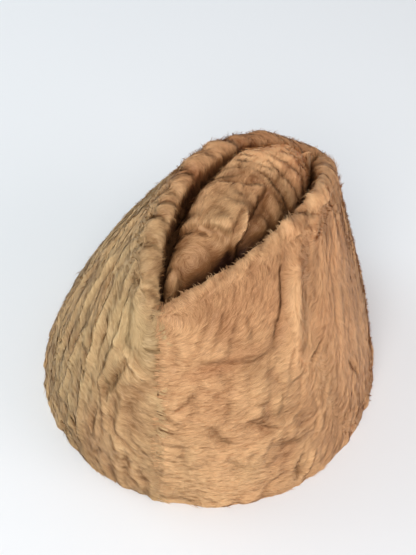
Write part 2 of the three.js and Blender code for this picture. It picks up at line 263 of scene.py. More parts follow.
LEFT_FOLDS = [
    # Long ridges of the side, lit with painted light, running down from the rolled edge.
    dict(start=(-16, 0.88), end=(-11, 0.78), bow=-1, steep=2.2, slow=2.2, rise=1.6, light=0.07),
    dict(start=(-11, 0.78), end=(-10, 0.58), bow=1, steep=2.2, slow=2.2, rise=1.7, light=0.08),
    dict(start=(-28, 0.80), end=(-19, 0.58), bow=1, steep=2.0, slow=2.2, rise=1.5, light=0.08),
    dict(start=(-46, 0.78), end=(-38, 0.58), bow=1, steep=2.0, slow=2.2, rise=1.3, light=0.06),
    dict(start=(-31, 0.56), end=(-29, 0.22), bow=-1, steep=1.8, slow=2.2, rise=1.5, light=0.08),
    dict(start=(-20, 0.58), end=(-15, 0.14), bow=1, steep=2.0, slow=2.4, rise=1.4, light=0.07),
    dict(start=(-10, 0.58), end=(-5, 0.38), bow=0, steep=1.8, slow=2.0, rise=1.3, light=0.06),
    dict(start=(0, 0.60), end=(1, 0.30), bow=1, steep=1.8, slow=2.2, rise=1.1, light=0.05),
    dict(start=(-45, 0.55), end=(-40, 0.15), bow=-1, steep=1.8, slow=2.2, rise=1.2, light=0.05),
    dict(start=(-60, 0.85), end=(-55, 0.25), bow=2, steep=2.0, slow=2.4, rise=1.2, light=0.05),
    # Valleys between them, darkened with painted shade.
    dict(start=(-4, 0.76), end=(-7, 0.58), bow=0, steep=1.6, slow=1.8, rise=-2.0, light=-0.15),
    dict(start=(-20, 0.74), end=(-19, 0.68), bow=0, steep=1.4, slow=1.4, rise=-1.3, light=-0.12),
    dict(start=(-41, 0.80), end=(-23, 0.64), bow=-2, steep=1.6, slow=1.8, rise=-1.4, light=-0.11),
    dict(start=(-21, 0.54), end=(-19, 0.47), bow=0, steep=1.4, slow=1.4, rise=-1.3, light=-0.12),
    dict(start=(-9, 0.60), end=(-7, 0.53), bow=0, steep=1.5, slow=1.5, rise=-1.4, light=-0.14),
    dict(start=(-10, 0.42), end=(-10, 0.29), bow=0, steep=1.6, slow=1.8, rise=-1.1, light=-0.09),
    dict(start=(-47, 0.33), end=(-42, 0.35), bow=0, steep=1.5, slow=1.5, rise=-1.2, light=-0.14),
    dict(start=(2, 0.55), end=(5, 0.63), bow=0, steep=2.6, slow=3.0, rise=-0.9, light=-0.08),
    dict(start=(-58, 0.80), end=(-53, 0.70), bow=0, steep=1.3, slow=1.3, rise=-1.1, light=-0.12),
    dict(start=(4, 0.28), end=(5, 0.04), bow=0, steep=1.5, slow=1.5, rise=-1.1, light=-0.1),
    # The smooth patch at the front corner stands out a little, with an angle below it; its rises
    # carry painted light and its hollows painted shade.
    dict(start=(-10, 0.95), end=(-3, 0.86), bow=0, steep=7.0, slow=7.0, rise=1.8, light=0.03),
    dict(start=(-24, 0.93), end=(-17, 0.79), bow=-2, steep=2.0, slow=2.5, rise=-1.2, light=-0.08),
    dict(start=(-6, 0.78), end=(5, 0.73), bow=0, steep=1.6, slow=2.0, rise=1.4, light=0.10),
    dict(start=(-5, 0.81), end=(6, 0.84), bow=0, steep=1.4, slow=2.4, rise=-1.0, light=-0.08),
    # Pits above the rim, darkened with painted shade.
    dict(start=(-20, 0.16), end=(-18, 0.15), bow=0, steep=1.6, slow=1.6, rise=-1.4, light=-0.17),
    dict(start=(-24, 0.05), end=(-22, 0.06), bow=0, steep=1.5, slow=1.5, rise=-1.4, light=-0.17),
    dict(start=(-6, 0.18), end=(-7, 0.13), bow=0, steep=1.5, slow=1.5, rise=-1.4, light=-0.15),
    # Creases across the rolled edge, between its tufts, darkened with painted shade.
    dict(start=(-13, 0.98), end=(-8, 1.55), bow=0, steep=1.6, slow=2.9, rise=-1.3, light=-0.08),
    dict(start=(-24, 0.95), end=(-15, 1.60), bow=0, steep=1.6, slow=3.1, rise=-1.3, light=-0.07),
    dict(start=(-41, 0.95), end=(-36, 1.65), bow=0, steep=1.6, slow=3.4, rise=-1.4, light=-0.08),
    dict(start=(-54, 0.97), end=(-50, 1.70), bow=0, steep=1.6, slow=3.4, rise=-1.3, light=-0.07),
    dict(start=(-68, 0.97), end=(-65, 1.70), bow=0, steep=1.6, slow=3.4, rise=-1.4, light=-0.08),
    dict(start=(-82, 0.97), end=(-80, 1.70), bow=0, steep=1.6, slow=3.4, rise=-1.2, light=-0.07),
    dict(start=(-97, 0.97), end=(-96, 1.70), bow=0, steep=1.6, slow=3.4, rise=-1.3, light=-0.07),
    dict(start=(-112, 0.97), end=(-112, 1.70), bow=0, steep=1.6, slow=3.4, rise=-1.1, light=-0.06),
    dict(start=(-127, 0.97), end=(-127, 1.70), bow=0, steep=1.6, slow=3.4, rise=-1.0, light=-0.06),
]
LEFT_ZONES = [
    # A smooth patch by the front corner, with its hair fanned down and toward the seam.
    dict(turn=-8, up=0.90, half_turn=13, half_up=0.11, waves=0.05, comb=232, light=0.04, cast=-0.15),
    # Below the patch, then down along the front seam, then the back half.
    dict(turn=0, up=0.76, half_turn=9, half_up=0.07, waves=0.5, comb=215, light=0.05, cast=0.25),
    dict(turn=2, up=0.30, half_turn=15, half_up=0.40, waves=0.8, comb=200, light=0.03, cast=0.50),
    dict(turn=-120, up=0.50, half_turn=55, half_up=0.60, waves=1.0, comb=190, light=-0.04, cast=0.15),
]
LEFT_BASE = dict(waves=0.8, comb=185, light=0.0, cast=0.16)


def place_finder(net):
    """Finds the lengths across and along a panel's net at a turn and a share of its height."""

    def find(turn, up):
        row = np.argmin(np.abs(NET_COURSES - up))
        column = np.argmin(np.abs(net["turn"][:, row] - turn))
        return net["across"][column, row], net["along"][column, row]

    return find


# Depths of the pile's waves and lumps, and where the wall's waves give way to those of the lip.
WAVE_DEPTH = {"wall": 2.6, "lip": 1.6}
WAVE_LEVEL = 0.55
FINE_DEPTH = 0.13
LIP_LUMP = dict(depth=0.9, across=13, along=30)
RIM_LUMP = dict(depth=1.1, across=6, along=9, reach=6)
LIP_COURSE = {"from": 0.84, "over": 0.26}
# The stitches draw the pile in along the seams.
SEAM_HALF_WIDTH = {"front": 1.6, "back": 2.5}
SEAM_LEVEL = -1.0
SEAM_PULL = 0.7
PANEL_LENGTH = 300
# Lightness of the hair: painted shade in the valleys, painted light added on the ridges, darker in
# the seams, and painted shade inside the roll.
PANEL_LIGHT = dict(valley=0.60, ridge=0.28, drift=0.05, seam=0.10, inside=0.5)
BRUSHED_TONE = 0.62


def finished_panel(net, folds, zones, base, wall_ripple, lip, layer):
    """Pile of a panel: waves of the wall and of the rolled edge, folds, seams and colours."""
    x, y, course = net["across"], net["along"], net["course"]
    on_lip = eased((course - LIP_COURSE["from"]) / LIP_COURSE["over"])
    smooth = mixed(zone_value(zones, base, "waves", net), 1.0, on_lip)
    rise, light = fold_value(folds, x, y, place_finder(net))
    ridge = mixed(wall_ripple, lip["ripple"], on_lip)
    fine = wander(x / 2.6, y / 3.4, layer) + 0.6 * wander(x / 1.4, y / 2.0, layer + 1)
    deep = mixed(WAVE_DEPTH["wall"], WAVE_DEPTH["lip"], on_lip) * smooth * np.sqrt(net["lively"])
    height = deep * (ridge - WAVE_LEVEL) + FINE_DEPTH * fine + rise
    lumps = wander(x / LIP_LUMP["across"], y / LIP_LUMP["along"], layer + 7)
    height = height + on_lip * LIP_LUMP["depth"] * lumps
    by_rim = np.exp(-((y / RIM_LUMP["reach"]) ** 2))
    lumps = wander(x / RIM_LUMP["across"], y / RIM_LUMP["along"], layer + 8)
    height = height + RIM_LUMP["depth"] * by_rim * lumps
    front = np.exp(-((x / SEAM_HALF_WIDTH["front"]) ** 2))
    front = front * (0.55 + 0.45 * wander(y / 9, y / 31, layer + 2))
    back = np.exp(-(((1 - net["share"]) * PANEL_LENGTH / SEAM_HALF_WIDTH["back"]) ** 2))
    drawn = np.maximum(front, back) * (1 - 0.5 * on_lip)
    height = mixed(height, SEAM_LEVEL, SEAM_PULL * drawn)
    shown = smooth * ridge + (1 - smooth) * BRUSHED_TONE
    # Painted light on the ridges and painted shade in the valleys, then the zones' lightness and the
    # folds' painted light and shade.
    shade = PANEL_LIGHT["valley"] + PANEL_LIGHT["ridge"] * shown
    shade = shade + zone_value(zones, base, "light", net) + light + lip["light"] * on_lip
    drift = wander(x / 11, y / 14, layer + 3)
    shade = shade + PANEL_LIGHT["drift"] * drift - PANEL_LIGHT["seam"] * drawn
    # Painted shade: the turned-in side of the roll is darkened with its depth below the edge.
    below = edge_line(np.radians(net["turn"]))[..., 2] - net["skin"][..., 2]
    shade = shade - PANEL_LIGHT["inside"] * eased((below + 3.5) / 9) * (course > 1.5)
    cast = zone_value(zones, base, "cast", net) + 0.12 * wander(x / 17, y / 21, layer + 4)
    cast = mixed(cast, lip["cast"], on_lip) + 0.25 * (1 - shown) - 0.10
    angle = zone_value(zones, base, "comb", net)
    swerve = 20 * wander(x / 15, y / 18, layer + 5) + 8 * wander(x / 5, y / 6, layer + 6)
    angle = mixed(angle + smooth * swerve, lip["comb"], on_lip)
    return combed(net, height, shade, cast, np.radians(angle))


left = panel_net(LEFT)
x, y = left["across"], left["along"]
bent_x = x + 7 * wander(x / 26, y / 22, 1) + 3.6 * wander(x / 10, y / 9, 3)
bent_y = y + 6 * wander(x / 12, y / 12, 2)
WAVE_LENGTH = 11.5
crest = (0.5 + 0.5 * np.cos(2 * math.pi * bent_x / WAVE_LENGTH)) ** 0.8
swell = np.clip(0.55 + 0.7 * wander(x / 12, y / 17, 9), 0, 1)
long_ripple = 0.6 * mixed(0.55, crest, swell) + 0.4 * ripple(bent_x / 6.5, bent_y / 13, 4)
broad_tufts = ripple((x + 0.5 * y) / 10.0, y / 34, 5)
small_tufts = ripple((x - 0.3 * y) / 4.8, y / 12, 6)
to_back = eased((-left["turn"] - 35) / 50)
left_lip = dict(
    ripple=0.7 * broad_tufts + 0.3 * small_tufts,
    comb=80 + 34 * wander(x / 9, y / 14, 7),
    cast=mixed(0.25, 0.9, to_back),
    light=mixed(0.08, -0.02, to_back),
)
finished_panel(left, LEFT_FOLDS, LEFT_ZONES, LEFT_BASE, long_ripple, left_lip, 8)


def piece_from(bm, name, material, **tones):
    mesh = bpy.data.meshes.new(name)
    bm.to_mesh(mesh)
    bm.free()
    mesh.shade_smooth()
    mesh.materials.append(material)
    for key, values in tones.items():
        attribute = mesh.attributes.new(key, "FLOAT", "POINT")
        attribute.data.foreach_set("value", np.asarray(values, np.float32))
    piece = bpy.data.objects.new(name, mesh)
    bpy.context.scene.collection.objects.link(piece)
    return piece


PANEL_COLUMNS, PANEL_ROWS = 210, 92
PILE_DEPTH = 0.35
# The skin under the pile and the roots are darker: partly the hair's own darker roots, partly painted
# shade under the pile.
ROOT_TONE = -0.08
BARE_SKIN = dict(shade=0.42, cast=0.55)


def pelt_panel(name, side, net, material):
    """Closed wall: a skin under the pile, an inner skin, and borders bridged between them."""
    bm = bmesh.new()
    shade, cast = [], []
    for inner in (False, True):
        net_size = dict(x_segments=PANEL_COLUMNS, y_segments=PANEL_ROWS, size=0.5)
        grid = bmesh.ops.create_grid(bm, **net_size)["verts"]
        flat = np.array([v.co for v in grid])
        share = np.clip(flat[:, 0] + 0.5, 0, 1)
        # Two thirds of the rows go to the wall, the others to the roll and the border.
        course = np.interp(flat[:, 1] + 0.5, [0, 0.66, 0.9, 1], [0, 1, 2, 3])
        if inner:
            place = wall_skin(panel_turn(side, share, course), course, inner=True)
            place[:, 0] += side * SEAM_GAP / 2
            shade.append(np.full(len(grid), BARE_SKIN["shade"]))
            cast.append(np.full(len(grid), BARE_SKIN["cast"]))
        else:
            column = np.interp(share, NET_SHARES, np.arange(len(NET_SHARES)))
            row = np.interp(course, NET_COURSES, np.arange(len(NET_COURSES)))
            settle = PILE_DEPTH * np.clip(course * 60, 0.2, 1)[:, None]
            place = read(net["pile"], column, row) - settle * read(net["out"], column, row)
            shade.append(read(net["shade"], column, row) + ROOT_TONE)
            cast.append(read(net["cast"], column, row))
        place[:, 2] = np.maximum(place[:, 2], 0)
        for vert, spot in zip(grid, place * MM):
            vert.co = spot
    bmesh.ops.bridge_loops(bm, edges=[e for e in bm.edges if e.is_boundary])
    bmesh.ops.recalc_face_normals(bm, faces=bm.faces)
    return piece_from(bm, name, material, shade=np.concatenate(shade), cast=np.concatenate(cast))


class Wire:
    """A shader socket that takes part in sums, and adds any other node to its tree."""

    def __init__(self, tree, socket=None):
        self.tree = tree
        self.socket = socket

    def node(self, kind, settings=None, out=0, **sockets):
        node = self.tree.nodes.new(kind)
        for key, value in (settings or {}).items():
            setattr(node, key, value)
        for key, value in sockets.items():
            index = int(key[1:]) if key[1:].isdigit() else key.replace("_", " ")
            if isinstance(value, Wire):
                self.tree.links.new(value.socket, node.inputs[index])
            else:
                node.inputs[index].default_value = value
        return Wire(self.tree, node.outputs[out])

    def _math(self, operation, *terms):
        sockets = {f"_{i}": term for i, term in enumerate(terms)}
        return self.node("ShaderNodeMath", {"operation": operation}, **sockets)

    def __add__(self, other):
        return self._math("ADD", self, other)

    __radd__ = __add__

    def __sub__(self, other):
        return self._math("SUBTRACT", self, other)

    def __rsub__(self, other):
        return self._math("SUBTRACT", other, self)

    def __mul__(self, other):
        return self._math("MULTIPLY", self, other)

    __rmul__ = __mul__

    def tint(self, low, high):
        """Colour between two colours, at this socket's value."""
        return self.node("ShaderNodeMix", {"data_type": "RGBA"}, out=2, _0=self, _6=low, _7=high)


def srgb(red, green, blue):
    linear = lambda c: ((c / 255 + 0.055) / 1.055) ** 2.4 if c > 10.3 else c / 255 / 12.92
    return (linear(red), linear(green), linear(blue), 1.0)


def new_material(name):
    material = bpy.data.materials.new(name)
    material.use_nodes = True
    tree = material.node_tree
    surface = next(n for n in tree.nodes if n.type == "BSDF_PRINCIPLED")
    return material, Wire(tree), surface


# Hair of the pelt: sandy olive where it lies in long waves, redder where it is brushed, and dark
# under painted shade in the valleys. Each colour has a dark, a middle and a light stop.
OLIVE = srgb(56, 35, 22), srgb(140, 106, 66), srgb(228, 197, 146)
RED = srgb(62, 34, 22), srgb(152, 98, 58), srgb(242, 188, 136)
MOTTLE = 0.08
hair_finish, wire, surface = new_material("karakul_hair")
shade = wire.node("ShaderNodeAttribute", {"attribute_name": "shade"}, out=2)
cast = wire.node("ShaderNodeAttribute", {"attribute_name": "cast"}, out=2)
where = wire.node("ShaderNodeTexCoord", out=3)
mottle = wire.node("ShaderNodeTexNoise", out=0, Vector=where, Scale=95.0, Detail=3.0)
shade = shade + MOTTLE * (mottle - 0.5)
low, high = shade * 2.0, shade * 2.0 - 1.0
olive, red = (high.tint(low.tint(dark, middle), light) for dark, middle, light in (OLIVE, RED))
colour = cast.tint(olive, red)
wire.tree.links.new(colour.socket, surface.inputs["Base Color"])
surface.inputs["Roughness"].default_value = 0.5
surface.inputs["Specular IOR Level"].default_value = 0.3


MIDDLE_HALF_WIDTH = 0.42


def strands(name, spines, across, normals, tones, casts):
    """Joined mesh of flat tapered hairs. Spines are root, middle and tip points in mm."""
    count = len(spines)
    points = np.empty((count, 5, 3))
    points[:, 0] = spines[:, 0] - 0.5 * across
    points[:, 1] = spines[:, 0] + 0.5 * across
    points[:, 2] = spines[:, 1] - MIDDLE_HALF_WIDTH * across
    points[:, 3] = spines[:, 1] + MIDDLE_HALF_WIDTH * across
    points[:, 4] = spines[:, 2]
    mesh = bpy.data.meshes.new(name)
    mesh.vertices.add(count * 5)
    mesh.vertices.foreach_set("co", (points * MM).astype(np.float32).ravel())
    pattern = np.array([0, 1, 3, 2, 2, 3, 4])
    corners = (np.arange(count)[:, None] * 5 + pattern[None, :]).ravel()
    mesh.loops.add(count * 7)
    mesh.loops.foreach_set("vertex_index", corners.astype(np.int32))
    mesh.polygons.add(count * 2)
    starts = (np.arange(count)[:, None] * 7 + np.array([0, 4])[None, :]).ravel()
    mesh.polygons.foreach_set("loop_start", starts.astype(np.int32))
    mesh.update(calc_edges=True)
    # Each hair has a cell of its own on the sheet, kept free for its colour.
    cells = int(math.ceil(math.sqrt(count)))
    column, row = np.arange(count) % cells, np.arange(count) // cells
    corner_u = np.array([0.2, 0.8, 0.8, 0.2, 0.2, 0.8, 0.5])
    corner_v = np.array([0.1, 0.1, 0.5, 0.5, 0.5, 0.5, 0.9])
    sheet = np.stack([column[:, None] + corner_u, row[:, None] + corner_v], -1) / cells
    layer = mesh.uv_layers.new(name="OFBake")
    layer.uv.foreach_set("vector", sheet.astype(np.float32).ravel())
    five = [0, 0, 1, 1, 2]
    for key, values in (("shade", tones), ("cast", casts)):
        attribute = mesh.attributes.new(key, "FLOAT", "POINT")
        attribute.data.foreach_set("value", values[:, five].astype(np.float32).ravel())
    mesh.shade_smooth()
    # The hairs take the light as one pile, so each has the way out of the pile where it lies.
    mesh.normals_split_custom_set_from_vertices(normals[:, five].reshape(-1, 3).tolist())
    mesh.materials.append(hair_finish)
    piece = bpy.data.objects.new(name, mesh)
    bpy.context.scene.collection.objects.link(piece)
    return piece


def stride(net, column, row, way):
    """Steps in columns and rows of a net that make a way along its skin, in mm."""
    u, v = read(net["column_way"], column, row), read(net["row_way"], column, row)
    uu, uv, vv = dot(u, u), dot(u, v), dot(v, v)
    wu, wv = dot(way, u), dot(way, v)
    spread = np.maximum(uu * vv - uv * uv, 1e-5)
    return (wu * vv - wv * uv) / spread, (wv * uu - wu * uv) / spread


FARTHEST = 40


def moved(net, column, row, way):
    """Place in a net after a way along its skin."""
    columns, rows = net["area"].shape
    by_column, by_row = stride(net, column, row, way)
    column = column + np.clip(by_column, -FARTHEST, FARTHEST)
    row = row + np.clip(by_row, -FARTHEST, FARTHEST)
    if net["mirrored"]:
        # A hair that goes over the ridge line lies on the other side of it.
        over = row > rows - 1
        row = np.where(over, 2 * (rows - 1) - row, row)
        column = np.where(over, columns - 1 - column, column)
        column = np.mod(column, columns - 1)
    return np.clip(column, 0, columns - 1), np.clip(row, 0, rows - 1)


# Hairs to a lock, how far they scatter in it, and how much locks and hairs differ.
LOCK = 6
SCATTER = {"along": 1.8, "aside": 0.32}
LOCK_SPREAD = dict(length=0.12, lift=0.5, slant=0.10)
HAIR_SPREAD = dict(veer=0.07, tone=0.045, slant=0.12, shortest=0.75, longest=1.2)
LOOSE = {"share": 0.07, "lift": 5.0}
# Root, middle and tip: height above the pile as a share of the lift, and lightness, the root's partly
# painted shade under the pile.
ROOT_HEIGHT = -0.2
LIFT_SHARE = {"middle": 0.6, "tip": 0.9}
HAIR_TONES = (ROOT_TONE, 0.0, 0.03)
FLOOR_CLEARANCE = 0.15


def laid_hair(name, seed, net, sown, count, size):
    """Hairs in small locks. Each lies from its root along the lay and over the waves."""
    rng = np.random.default_rng(seed)
    weight = np.cumsum((net["area"] * sown).ravel())
    cell = np.searchsorted(weight / weight[-1], rng.random(count // LOCK))
    cell = np.minimum(cell, len(weight) - 1)
    column = np.repeat(cell // net["area"].shape[1] + rng.random(len(cell)) - 0.5, LOCK)
    row = np.repeat(cell % net["area"].shape[1] + rng.random(len(cell)) - 0.5, LOCK)
    hairs = len(column)
    of_lock = lambda spread: np.repeat(rng.normal(0, spread, len(cell)), LOCK)
    column, row = moved(net, column, row, np.zeros((hairs, 3)))
    lay, out = unit(read(net["lay"], column, row)), unit(read(net["out"], column, row))
    aside = np.cross(out, lay)
    scatter = lay * rng.uniform(-SCATTER["along"], SCATTER["along"], hairs)[:, None]
    scatter = scatter + aside * rng.normal(0, SCATTER["aside"], hairs)[:, None]
    column, row = moved(net, column, row, scatter)
    veer = of_lock(size["stray"]) + rng.normal(0, HAIR_SPREAD["veer"], hairs)
    length = size["length"] * (1 + of_lock(LOCK_SPREAD["length"]))
    length = length * rng.uniform(HAIR_SPREAD["shortest"], HAIR_SPREAD["longest"], hairs)
    loose = np.where(rng.random(hairs) < LOOSE["share"], LOOSE["lift"], 1.0)
    lift = size["lift"] * np.clip(1 + of_lock(LOCK_SPREAD["lift"]), 0.1, 2.5) * loose
    lively = read(net["lively"], column, row)
    speckle = lively * (of_lock(size["speckle"]) + rng.normal(0, HAIR_SPREAD["tone"], hairs))
    slant = lively * (of_lock(LOCK_SPREAD["slant"]) + rng.normal(0, HAIR_SPREAD["slant"], hairs))
    spines, normals = np.empty((hairs, 3, 3)), np.empty((hairs, 3, 3))
    tones, casts = np.empty((hairs, 3)), np.empty((hairs, 3))
    rises = np.full(hairs, ROOT_HEIGHT), LIFT_SHARE["middle"] * lift, LIFT_SHARE["tip"] * lift
    for i, tone in enumerate(HAIR_TONES):
        normal = unit(read(net["normal"], column, row))
        spines[:, i] = read(net["pile"], column, row) + normal * rises[i][:, None]
        tones[:, i] = read(net["shade"], column, row) + speckle + tone
        casts[:, i] = read(net["cast"], column, row)
        lay = unit(read(net["lay"], column, row))
        aside = np.cross(unit(read(net["out"], column, row)), lay)
        normals[:, i] = unit(normal + aside * slant[:, None])
        if i < 2:
            way = lay * np.cos(veer)[:, None] + aside * np.sin(veer)[:, None]
            column, row = moved(net, column, row, way * (length / 2)[:, None])
    spines[:, :, 2] = np.maximum(spines[:, :, 2], FLOOR_CLEARANCE)
    across = unit(np.cross(spines[:, 2] - spines[:, 0], normals[:, 1])) * size["width"]
    return strands(name, spines, across, normals, np.clip(tones, 0, 1), np.clip(casts, 0, 1))


WALL_HAIR = dict(length=4.2, stray=0.10, lift=0.22, width=0.34, speckle=0.02)
EDGE_HAIR = dict(length=4.2, stray=0.20, lift=0.38, width=0.32, speckle=0.03)
HAIR_SHARES = (-0.008, 1.004)
EDGE_COURSE = 0.93
HIDDEN_COURSE = 2.7


def band(net, low, high):
    """Part of a panel's net between two courses. Its hair reaches a little over the seams."""
    inside = (net["share"] >= HAIR_SHARES[0]) & (net["share"] <= HAIR_SHARES[1])
    return inside * (net["course"] >= low) * (net["course"] < high)


left_pelt = pelt_panel("left_pelt", LEFT, left, hair_finish)
on_wall, on_edge = band(left, 0.0, EDGE_COURSE), band(left, EDGE_COURSE, HIDDEN_COURSE)
left_wall_hair = laid_hair("left_wall_hair", 21, left, on_wall, 66000, WALL_HAIR)
left_edge_hair = laid_hair("left_edge_hair", 22, left, on_edge, 27000, EDGE_HAIR)
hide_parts("side_panel_left")
for piece in (left_pelt, left_wall_hair, left_edge_hair):
    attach(piece, "root")

# Right panel.
# The other half of the wall, of the same pelt. Below its roll the hair is brushed smooth, and
# lower down it stands in short broken waves. It is sewn to the left panel in the two seams.
RIGHT_FOLDS = [
    # The level crease and the short valleys below it, darkened with painted shade.
    dict(start=(25, 0.76), end=(50, 0.67), bow=1, steep=2.2, slow=3.6, rise=-1.2, light=-0.08),
    dict(start=(34, 0.71), end=(38, 0.62), bow=0, steep=1.9, slow=2.0, rise=-1.0, light=-0.1),
    dict(start=(24, 0.63), end=(25, 0.56), bow=0, steep=2.0, slow=2.1, rise=-1.1, light=-0.12),
    dict(start=(37, 0.55), end=(37, 0.48), bow=0, steep=1.9, slow=2.0, rise=-1.0, light=-0.1),
    dict(start=(31, 0.46), end=(37, 0.37), bow=-1, steep=2.0, slow=2.5, rise=-1.3, light=-0.14),
    dict(start=(13, 0.55), end=(18, 0.51), bow=0, steep=2.0, slow=2.8, rise=-1.0, light=-0.1),
    dict(start=(12, 0.47), end=(17, 0.45), bow=0, steep=2.0, slow=2.5, rise=-1.0, light=-0.1),
    dict(start=(45, 0.44), end=(54, 0.36), bow=0, steep=1.8, slow=2.1, rise=-1.0, light=-0.12),
    dict(start=(54, 0.43), end=(66, 0.33), bow=1, steep=3.0, slow=4.2, rise=-1.0, light=-0.07),
    dict(start=(55, 0.27), end=(64, 0.22), bow=0, steep=3.0, slow=4.2, rise=-1.0, light=-0.07),
    dict(start=(23, 0.35), end=(24, 0.23), bow=-1, steep=2.4, slow=2.5, rise=-0.7, light=-0.05),
    dict(start=(38, 0.27), end=(43, 0.22), bow=0, steep=2.0, slow=2.5, rise=-0.9, light=-0.08),
    dict(start=(15, 0.37), end=(15, 0.06), bow=1, steep=1.6, slow=1.7, rise=-0.9, light=-0.08),
    # Soft slanting valleys between the crease and the rolled edge, darkened with painted shade.
    dict(start=(33, 0.95), end=(27, 0.83), bow=0, steep=2.4, slow=3.4, rise=-0.8, light=-0.05),
    dict(start=(38, 0.90), end=(32, 0.80), bow=0, steep=2.4, slow=3.4, rise=-0.8, light=-0.05),
    dict(start=(43, 0.87), end=(39, 0.77), bow=0, steep=2.4, slow=3.4, rise=-0.7, light=-0.05),
    dict(start=(48, 0.85), end=(49, 0.78), bow=0, steep=2.4, slow=3.1, rise=-0.6, light=-0.04),
    # The tongue, raised and lit with painted light, with painted shade in the step at its near side
    # and a slow fall at its far side.
    dict(start=(67, 0.92), end=(59, 0.74), bow=2, steep=2.6, slow=5.0, rise=-1.5, light=-0.09),
    dict(start=(74, 0.90), end=(66, 0.66), bow=-1, steep=7.0, slow=7.0, rise=1.9, light=0.16),
    # Two small pits below it, darkened with painted shade.
    dict(start=(77, 0.58), end=(73, 0.56), bow=0, steep=1.4, slow=1.4, rise=-1.2, light=-0.16),
    dict(start=(93, 0.37), end=(97, 0.27), bow=0, steep=1.4, slow=1.4, rise=-1.2, light=-0.16),
    # Two tufts that stand over the rolled edge, lit with painted light, and the notch between them,
    # darkened with painted shade.
    dict(start=(80, 1.65), end=(92, 0.95), bow=0, steep=2.2, slow=4.0, rise=1.6, light=0.10),
    dict(start=(93, 1.75), end=(97, 1.05), bow=0, steep=1.6, slow=1.6, rise=-1.8, light=-0.20),
    dict(start=(104, 1.75), end=(110, 1.0), bow=0, steep=2.2, slow=4.0, rise=1.4, light=0.08),
    # A curl that turns up at the rim: painted shade in its hollow, painted light on its lip.
    dict(start=(64, 0.14), end=(63, 0.06), bow=-2, steep=1.6, slow=1.6, rise=-2.0, light=-0.26),
    dict(start=(68, 0.12), end=(66, 0.06), bow=0, steep=2.2, slow=2.2, rise=1.8, light=0.10),
]
RIGHT_ZONES = [
    # Brushed hair under the roll, redder than the rest.
    dict(turn=56, up=0.92, half_turn=26, half_up=0.15, waves=0.12, comb=40, light=-0.03, cast=1.0),
    # The tongue, with a little painted light, the level crease and the corner by the front seam, a
    # little darker.
    dict(turn=71, up=0.74, half_turn=7, half_up=0.18, waves=0.05, comb=275, light=0.05, cast=0.60),
    dict(turn=38, up=0.73, half_turn=20, half_up=0.035, waves=0.3, comb=0, light=-0.03, cast=0.95),
    dict(turn=22, up=0.97, half_turn=9, half_up=0.06, waves=0.6, comb=60, light=-0.02, cast=0.85),
    # The far side, the back, and painted light on the hair low at the front.
    dict(turn=100, up=0.55, half_turn=26, half_up=0.60, waves=0.4, comb=275, light=0.07, cast=0.95),
    dict(turn=150, up=0.50, half_turn=30, half_up=0.60, waves=0.9, comb=200, light=0.0, cast=0.7),
    dict(turn=24, up=0.20, half_turn=24, half_up=0.36, waves=0.6, comb=8, light=0.15, cast=0.55),
]
RIGHT_BASE = dict(waves=0.8, comb=5, light=0.06, cast=0.74)

right = panel_net(RIGHT)
x, y = right["across"], right["along"]
bent_x = x + 5 * wander(x / 13, y / 13, 21)
bent_y = y + 6 * wander(x / 11, y / 12, 22)
bumps = WAVE_LEVEL + 0.40 * wander(bent_x / 9, bent_y / 13, 23)
bumps = bumps + 0.2 * wander(bent_x / 4.5, bent_y / 7, 24)
short_ripple = 0.65 * np.clip(bumps, 0, 1) + 0.35 * ripple(bent_x / 7, bent_y / 12, 31)
# Toward the far end the short waves run out into fine upright streaks.
streaks = WAVE_LEVEL + 0.45 * wander(bent_x / 5, bent_y / 34, 25)
streaks = streaks + 0.25 * wander(bent_x / 2.6, bent_y / 22, 26)
to_streaks = eased((right["turn"] - 72) / 22)
wall_ripple = mixed(short_ripple, np.clip(streaks, 0, 1), to_streaks)
broad_tufts = ripple((x - 0.5 * y) / 11.0, y / 34, 27)
small_tufts = ripple((x + 0.3 * y) / 5.0, y / 12, 28)
right_lip = dict(
    ripple=0.7 * broad_tufts + 0.3 * small_tufts,
    comb=88 + 36 * wander(x / 9, y / 14, 29),
    cast=0.85,
    light=0.05,
)
finished_panel(right, RIGHT_FOLDS, RIGHT_ZONES, RIGHT_BASE, wall_ripple, right_lip, 30)

right_pelt = pelt_panel("right_pelt", RIGHT, right, hair_finish)
HALF_WAY = 0.5
low_down, high_up = band(right, 0.0, HALF_WAY), band(right, HALF_WAY, EDGE_COURSE)
on_edge = band(right, EDGE_COURSE, HIDDEN_COURSE)
right_low_hair = laid_hair("right_low_hair", 31, right, low_down, 50000, WALL_HAIR)
right_high_hair = laid_hair("right_high_hair", 32, right, high_up, 44000, WALL_HAIR)
right_edge_hair = laid_hair("right_edge_hair", 33, right, on_edge, 27000, EDGE_HAIR)
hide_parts("side_panel_right")
for piece in (right_pelt, right_low_hair, right_high_hair, right_edge_hair):
    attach(piece, "root")

# Crown.
# One pelt folded down between the rolled edges. It makes a soft ridge from front to back with a
# dark groove on each side, and is sewn round its border to the turned-in edges of the panels.
CROWN_PELT = 3.4
BORDER_GAP = 0.9
RIDGE_SIDE = {"front": -8.0, "back": -4.0}
RIDGE_LINE = [
    dict(place="nose", y=-50.0, drop=6.0),
    dict(place="front lobe", y=-42.0, drop=4.0),
    dict(place="first fold, foot", y=-34.0, drop=3.0),
    dict(place="first fold, top", y=-27.0, drop=-4.0),
    dict(place="middle lobe", y=-14.0, drop=-5.0),
    dict(place="second fold, foot", y=1.0, drop=-2.0),
    dict(place="second fold, top", y=8.0, drop=-5.5),
    dict(place="rear lobe", y=30.0, drop=-7.5),
    dict(place="slope", y=50.0, drop=-7.0),
    dict(place="tail", y=70.0, drop=0.0),
]
RIDGE_FRONT, RIDGE_BACK = RIDGE_LINE[0]["y"], RIDGE_LINE[-1]["y"]
GROOVE_RADIUS = {"left": 1.3, "right_front": 5.0, "right_back": 1.2}
